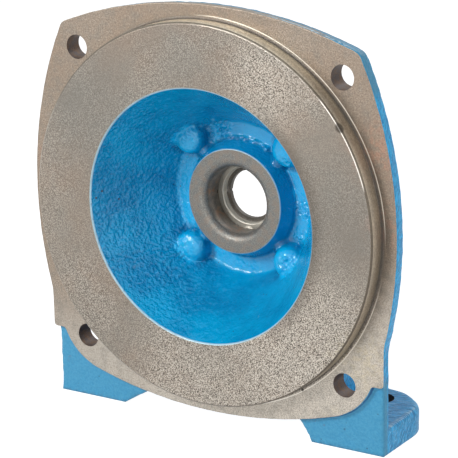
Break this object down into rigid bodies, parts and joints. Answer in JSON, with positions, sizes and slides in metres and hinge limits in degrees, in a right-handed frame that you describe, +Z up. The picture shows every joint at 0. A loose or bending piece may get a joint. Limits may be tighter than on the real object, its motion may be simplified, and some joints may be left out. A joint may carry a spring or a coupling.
{
  "type": "pump housing",
  "caption": "Cast pump housing: bulge-sided bolt flange with a turned spigot, conical cup with a seal-seat hub, and rearward feet for foundation bolts.",
  "frame": {"origin": "on the shaft axis, in the turned flange face that seats on the pump casing", "axes": "+X to the right seen from the pump side, +Y along the shaft from the pump to the motor, +Z up"},
  "size_m": [0.1948, 0.0636, 0.1991],
  "materials": {
    "casting": "blue paint over the as-cast skin; flange face, spigot, hub face and bores are bare turned iron"
  },
  "bodies": {
    "root": {"housing": "casting"}
  },
  "joints": []
}
